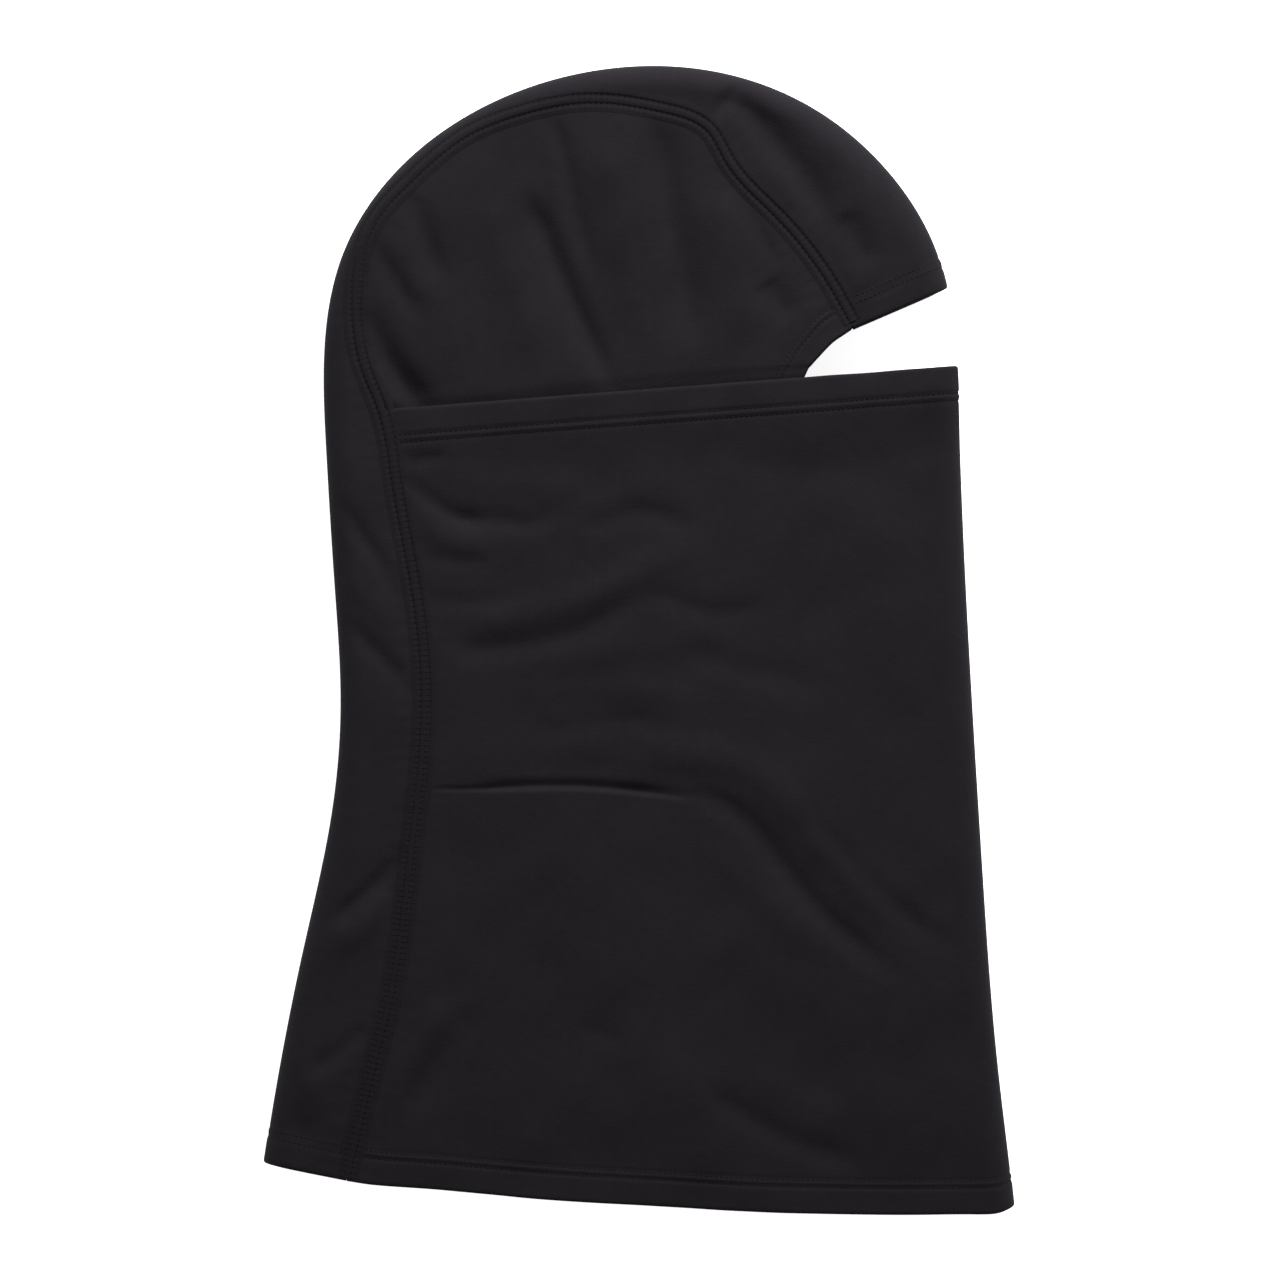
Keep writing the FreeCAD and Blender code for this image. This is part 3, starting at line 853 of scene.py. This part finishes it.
sewn_low, sewn_high = -201.4, 118.2     # levels of the seam's ends, at the hem and the brow
seam_total = run_at(seam_line[::-1], seam_line[0, 1] + 0.01)
sewn_start = run_at(seam_line, sewn_low)
sewn_end = seam_total - run_at(seam_line[::-1], sewn_high)
seam_course = line_at(seam_line, np.arange(sewn_start, sewn_end, stitch_pitch / 2))
seam_along = np.gradient(seam_course, axis=0)
seam_along /= np.linalg.norm(seam_along, axis=1, keepdims=True)
seam_left = np.stack([-seam_along[:, 1], seam_along[:, 0]], axis=1)
beside_seam = np.linspace(-seam_half, seam_half, 27)
band_height, band_sink = 0.55, 0.06
band_rise = band_height * np.cos(beside_seam / seam_half * math.pi / 2) ** 0.7 - band_sink
shaded_seam_jersey = brushed_jersey("painted_shade_seam_jersey", 0.85)    # the jersey darkened to 0.85 as painted shade along the seam
needle_rows = sum(
    np.exp(-(((beside_seam - groove) / 0.6) ** 2)) for groove in (-seam_grooves, seam_grooves)
)
needle_hole, between_holes = 0.95, 0.3  # depth of the grooves
groove_depth = np.where(np.arange(len(seam_course)) % 2 == 0, needle_hole, between_holes)
seam_rise = band_rise - groove_depth[:, None] * needle_rows


def seam_band(upper):
    """The grid of a seam's band, lying on the cloths to its left and right."""
    xy = seam_course[:, None] + seam_left[:, None] * beside_seam[None, :, None]
    flat = xy.reshape(-1, 2)
    leaf = upper_side if upper else lower_side
    height = np.where(
        np.tile(beside_seam > 0, len(seam_course)),
        leaf(flat, nape_creases),
        leaf(flat, crown_creases + mask_creases),
    )
    grid = np.dstack([xy, height.reshape(xy.shape[:2])])
    return grid + outward(grid) * seam_rise[..., None]


thread_spans = ((-3.8, -1.9), (-1.4, 1.4), (1.9, 3.8))     # across the seam
crossing_rise = 0.14        # the middle threads cross over the others
for name, upper in (("right", True), ("left", False)):
    band_grid = seam_band(upper)
    band = cloth_piece(name + "_seam_band", band_grid, shaded_seam_jersey, thickness=0.8)
    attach(band, "hood")
    facing = outward(band_grid)
    starts, ends, normals = [], [], []
    for low, high in thread_spans:
        first = np.abs(beside_seam - low).argmin()
        last = np.abs(beside_seam - high).argmin()
        starts.append(band_grid[1::2, first])
        ends.append(band_grid[1::2, last])
        normals.append(facing[1::2, (first + last) // 2])
        if low < 0 < high:
            starts[-1] = starts[-1] + crossing_rise * normals[-1]
            ends[-1] = ends[-1] + crossing_rise * normals[-1]
    parts = (np.concatenate(part) for part in (starts, ends, normals))
    seam_stitches = thread_piece(name + "_seam_stitches", *parts)
    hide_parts(name + "_seam_stitching")
    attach(seam_stitches, "hood")


# ---- Hem stitches ---------------------------------------------------------------
# Two rows of needle thread hold each turned hem; the ridge between them is the looped
# cover thread inside pushing the cloth up.
def hem_line(grid, distance):
    """The line a set distance in from row 0 of a grid, and the outward directions on it."""
    far = from_edge(grid)
    normal = outward(grid)
    points, facing = [], []
    for i in range(grid.shape[1]):
        if far[-1, i] > distance:
            points.append([np.interp(distance, far[:, i], grid[:, i, k]) for k in range(3)])
            facing.append([np.interp(distance, far[:, i], normal[:, i, k]) for k in range(3)])
    return np.array(points), np.array(facing)


def hem_rows(grid, distances):
    return [hem_line(grid, distance) for distance in distances]


neck_stitches = stitches("neck_hem_front_stitches", hem_rows(mask_grid, neck_hem_rows))
follow_mask(neck_stitches)
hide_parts("neck_hem_stitching")
back_stitches = stitches("neck_hem_back_stitches", hem_rows(centre_grid, neck_hem_rows))
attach(back_stitches, "hood")
mask_stitches = stitches("mask_hem_stitches", hem_rows(mask_grid[::-1], mask_hem_rows))
follow_mask(mask_stitches)
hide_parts("mask_hem_stitching")
face_rows = hem_rows(centre_grid[::-1], face_hem_rows)
for side_grid in hemmed_sides.values():
    face_rows += hem_rows(side_grid, face_hem_rows)
face_stitches = stitches("face_opening_stitches", face_rows)
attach(face_stitches, "hood")
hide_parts("face_opening_stitching")


# ---- Darts ----------------------------------------------------------------------
# A dart each side shapes the mask under the jaw: a wedge of its own cloth sewn across
# from the seam and turned down inside.
dart_take = 9.0             # cloth in the fold, at the seam
dart_start, dart_tip = -77.0, 18.0
dart_level = -56.2
dart_inside = 1.1           # below the face of the mask
tip_take = 0.4
for name, leaf in (("right", upper_side), ("left", lower_side)):
    dart_x = np.linspace(dart_start, dart_tip, 60)
    share = np.linspace(0, 1, 10)
    taken = dart_take * (1 - (dart_x - dart_start) / (dart_tip - dart_start)) + tip_take
    dart_y = dart_level - taken[:, None] * share
    dart_xy = np.dstack([np.broadcast_to(dart_x[:, None], dart_y.shape), dart_y])
    dart_height = leaf(dart_xy.reshape(-1, 2), mask_creases, dart_inside)
    dart_height = dart_height.reshape(dart_y.shape)
    fold_piece = cloth_piece(name + "_dart", np.dstack([dart_xy, dart_height]), jersey)
    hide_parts(name + "_dart_fold")
    follow_mask(fold_piece)
    sewn_x = np.linspace(-78.5, 17.0, 120)
    sewn_xy = np.stack([sewn_x, np.interp(sewn_x, *np.array(dart_path).T) - 0.2], axis=1)
    sewn = np.column_stack([sewn_xy, leaf(sewn_xy, mask_creases)])
    sewn_facing = np.tile([0.0, 0.0, 1.0 if name == "right" else -1.0], (len(sewn), 1))
    sewn -= sewn_facing * (0.1 + 0.5 * ease((sewn_x[:, None] + 58) / 12))
    dart_stitches = stitches(name + "_dart_stitches", [(sewn, sewn_facing)])
    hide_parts(name + "_dart_stitching")
    follow_mask(dart_stitches)


# ---- Seams and raw edge under the mask -------------------------------------------
# The side panels meet in a short upright seam at the chin, and a row of stitches keeps
# their raw lower edge from rolling.
chin_rows = []
for grid in side_grids.values():
    facing = outward(grid)
    chin_rows.append((grid[6:-4, 1], facing[6:-4, 1]))
chin_stitches = stitches("chin_seam_stitches", chin_rows)
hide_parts("chin_seam_stitching")
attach(chin_stitches, "hood")
last_under_mask = int(np.abs(ring[:, 0] + 77).argmin())
for name, grid in side_grids.items():
    edge_row = (grid[-2, 2:last_under_mask], outward(grid)[-2, 2:last_under_mask])
    edge_stitches = stitches(name + "_raw_edge_stitches", [edge_row])
    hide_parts(name + "_inner_edge_stitching")
    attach(edge_stitches, "hood")


# ---- Care label -----------------------------------------------------------------
# A blank satin tape caught in the left seam, lying on the inside of the mask panel.
label_low, label_high = (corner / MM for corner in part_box("care_label"))
label_inside = 1.15         # below the outside of the mask's lower leaf
label_thickness = 0.3


def satin_tape():
    """White-grey woven satin."""
    material, _, shader = blank_finish("satin_tape")
    shader.inputs["Base Color"].default_value = (0.55, 0.55, 0.56, 1)
    shader.inputs["Roughness"].default_value = 0.4
    shader.inputs["Sheen Weight"].default_value = 0.2
    return material


label_x = np.linspace(label_low.x, label_high.x, 30)
label_y = np.linspace(label_low.y, label_high.y, 18)
label_xy = np.stack(np.meshgrid(label_x, label_y), axis=-1)
label_height = lower_side(label_xy.reshape(-1, 2), mask_creases, label_inside)
label_grid = np.dstack([label_xy, label_height.reshape(label_xy.shape[:2])])
label = cloth_piece("care_label_tape", label_grid, satin_tape(), label_thickness)
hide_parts("care_label")
follow_mask(label)


# ---- Floor and light ------------------------------------------------------------
# A plain white surface under soft light from all round, a little stronger from the
# crown's side, so that the cloth's edges catch it.
floor_mesh = bpy.data.meshes.new("floor")
floor_reach = 6.0           # metres
floor_mesh.from_pydata(
    [(x, y, 0) for x, y in ((-1, -1), (1, -1), (1, 1), (-1, 1))], [], [(0, 1, 2, 3)]
)
floor = bpy.data.objects.new("floor", floor_mesh)
floor.scale = (floor_reach, floor_reach, 1)
floor_gap = 0.0002          # metres, below the garment
floor.location.z = -floor_gap
bpy.context.scene.collection.objects.link(floor)
paper, _, shader = blank_finish("white_paper")
shader.inputs["Base Color"].default_value = (0.93, 0.93, 0.93, 1)
shader.inputs["Roughness"].default_value = 0.9
shader.inputs["Emission Color"].default_value = (1, 1, 1, 1)
shader.inputs["Emission Strength"].default_value = 0.86
floor_mesh.materials.append(paper)
floor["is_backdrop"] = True

world = bpy.data.worlds.new("studio")
world.use_nodes = True
world.node_tree.nodes["Background"].inputs["Color"].default_value = (1, 1, 1, 1)
world.node_tree.nodes["Background"].inputs["Strength"].default_value = 0.36
bpy.context.scene.world = world


def softbox(name, place, size, power):
    """A square lamp that faces the garment; place and size are metres, power is watts."""
    lamp = bpy.data.lights.new(name, "AREA")
    lamp.size = size
    lamp.energy = power
    box = bpy.data.objects.new(name, lamp)
    box.location = place
    aim = -box.location.normalized()
    box.rotation_euler = aim.to_track_quat("-Z", "Y").to_euler()
    bpy.context.scene.collection.objects.link(box)


softbox("crown_light", (0.36, 1.15, 0.66), 0.45, 38.0)
softbox("nape_light", (-0.9, 0.5, 0.7), 0.5, 4.0)

bpy.context.scene.view_settings.view_transform = "Standard"
bpy.context.scene.view_settings.look = "None"

low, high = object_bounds()
